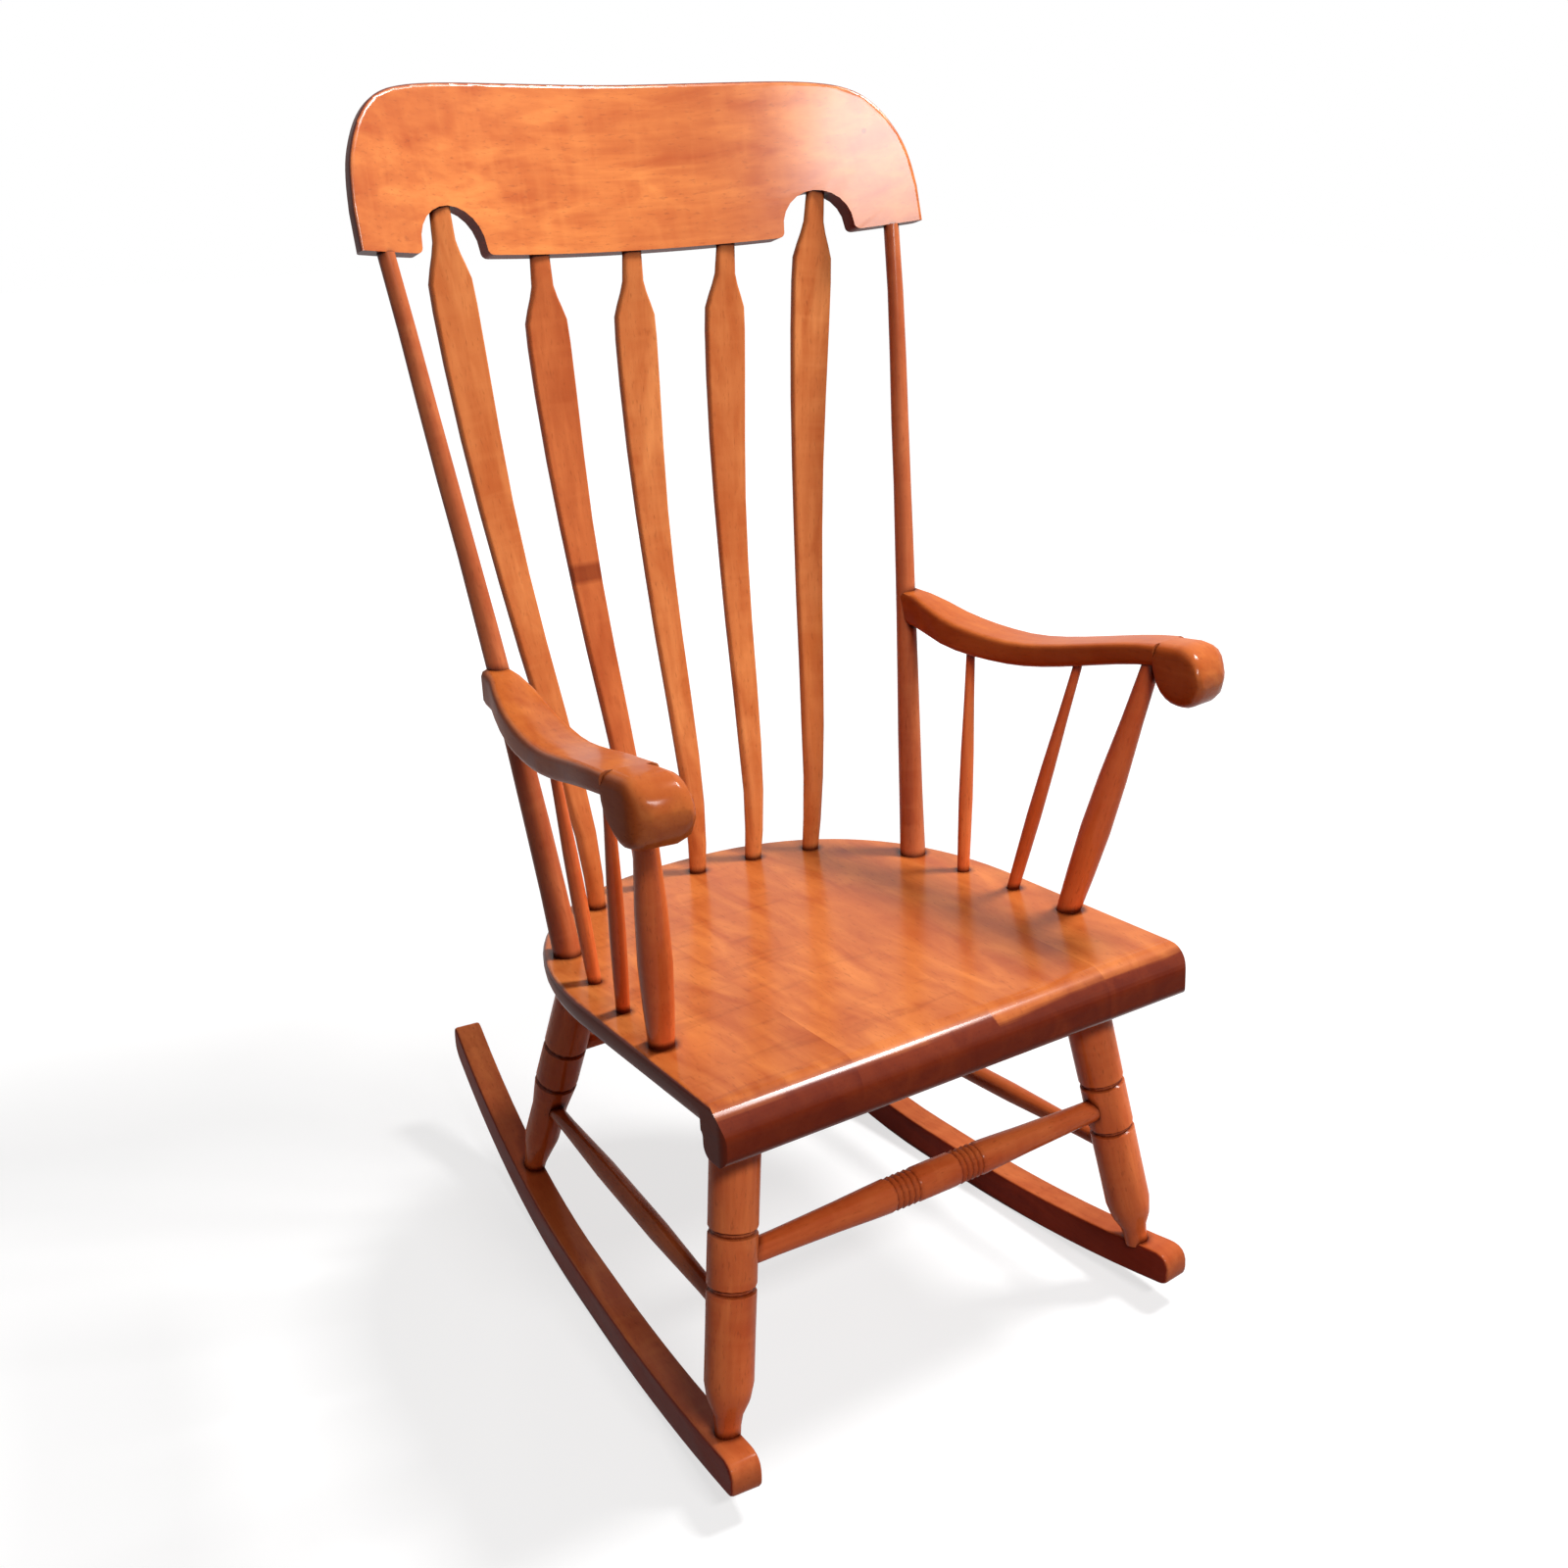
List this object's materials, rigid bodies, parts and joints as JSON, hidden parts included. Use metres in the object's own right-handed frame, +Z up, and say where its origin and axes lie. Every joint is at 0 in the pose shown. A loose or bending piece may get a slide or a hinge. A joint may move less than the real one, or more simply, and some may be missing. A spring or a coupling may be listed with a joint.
{
  "type": "rocking chair",
  "caption": "Wooden rocking chair with a bowed crest rail, flattened arrow-shaped back spindles, scrolled arms, a rolled-front seat and curved runners.",
  "frame": {"origin": "on the floor, under the middle of the chair's bounding box", "axes": "+Z up, -Y the way a sitter faces, +X to the viewer's right when facing the front; the X = 0 plane is the plane of symmetry"},
  "size_m": [0.5844, 0.6634, 1.0784],
  "materials": {
    "light_wood": "gloss lacquer",
    "seat_wood": "gloss lacquer",
    "dark_wood": "gloss lacquer",
    "screw_brass": "satin"
  },
  "bodies": {
    "root": {"seat": "seat_wood", "crest_rail": "light_wood", "back_post_left": "light_wood", "back_post_right": "light_wood", "arrow_spindle_left_outer": "light_wood", "arrow_spindle_left_inner": "light_wood", "arrow_spindle_middle": "light_wood", "arrow_spindle_right_inner": "light_wood", "arrow_spindle_right_outer": "light_wood", "arm_left": "light_wood", "arm_right": "light_wood", "arm_post_left": "light_wood", "arm_post_right": "light_wood", "arm_spindle_rear_left": "light_wood", "arm_spindle_front_left": "light_wood", "arm_spindle_rear_right": "light_wood", "arm_spindle_front_right": "light_wood", "leg_front_left": "light_wood", "leg_front_right": "light_wood", "leg_rear_left": "light_wood", "leg_rear_right": "light_wood", "front_stretcher": "light_wood", "rear_stretcher": "light_wood", "side_stretcher_left": "light_wood", "side_stretcher_right": "light_wood", "rocker_left": "dark_wood", "rocker_right": "dark_wood", "rocker_pin_front_left": "dark_wood", "rocker_pin_front_right": "dark_wood", "rocker_pin_rear_left": "dark_wood", "rocker_pin_rear_right": "dark_wood", "arm_screw_left": "screw_brass", "arm_screw_right": "screw_brass"}
  },
  "joints": []
}
